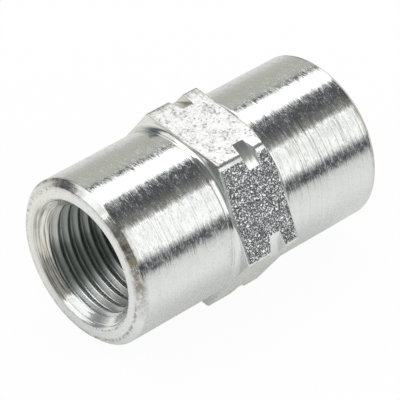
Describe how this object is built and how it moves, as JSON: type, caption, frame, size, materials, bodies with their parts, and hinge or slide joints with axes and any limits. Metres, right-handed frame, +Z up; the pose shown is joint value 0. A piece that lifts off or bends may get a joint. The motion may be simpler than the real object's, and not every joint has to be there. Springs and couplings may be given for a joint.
{
  "type": "brake line connector",
  "caption": "Straight female to female brake pipe union: a round body with a hexagon in the middle and a countersunk threaded port in each end.",
  "frame": {"origin": "middle of the connector's length, on the bore axis", "axes": "+X along the bore axis, +Z up and square to the hexagon's upper flat, with the opposite flat down"},
  "size_m": [0.0244, 0.0162, 0.014],
  "materials": {
    "plated_steel": "bright zinc plating over turned steel, hexagon flats left as rolled and grainy"
  },
  "bodies": {
    "root": {"connector_body": "plated_steel"}
  },
  "joints": []
}
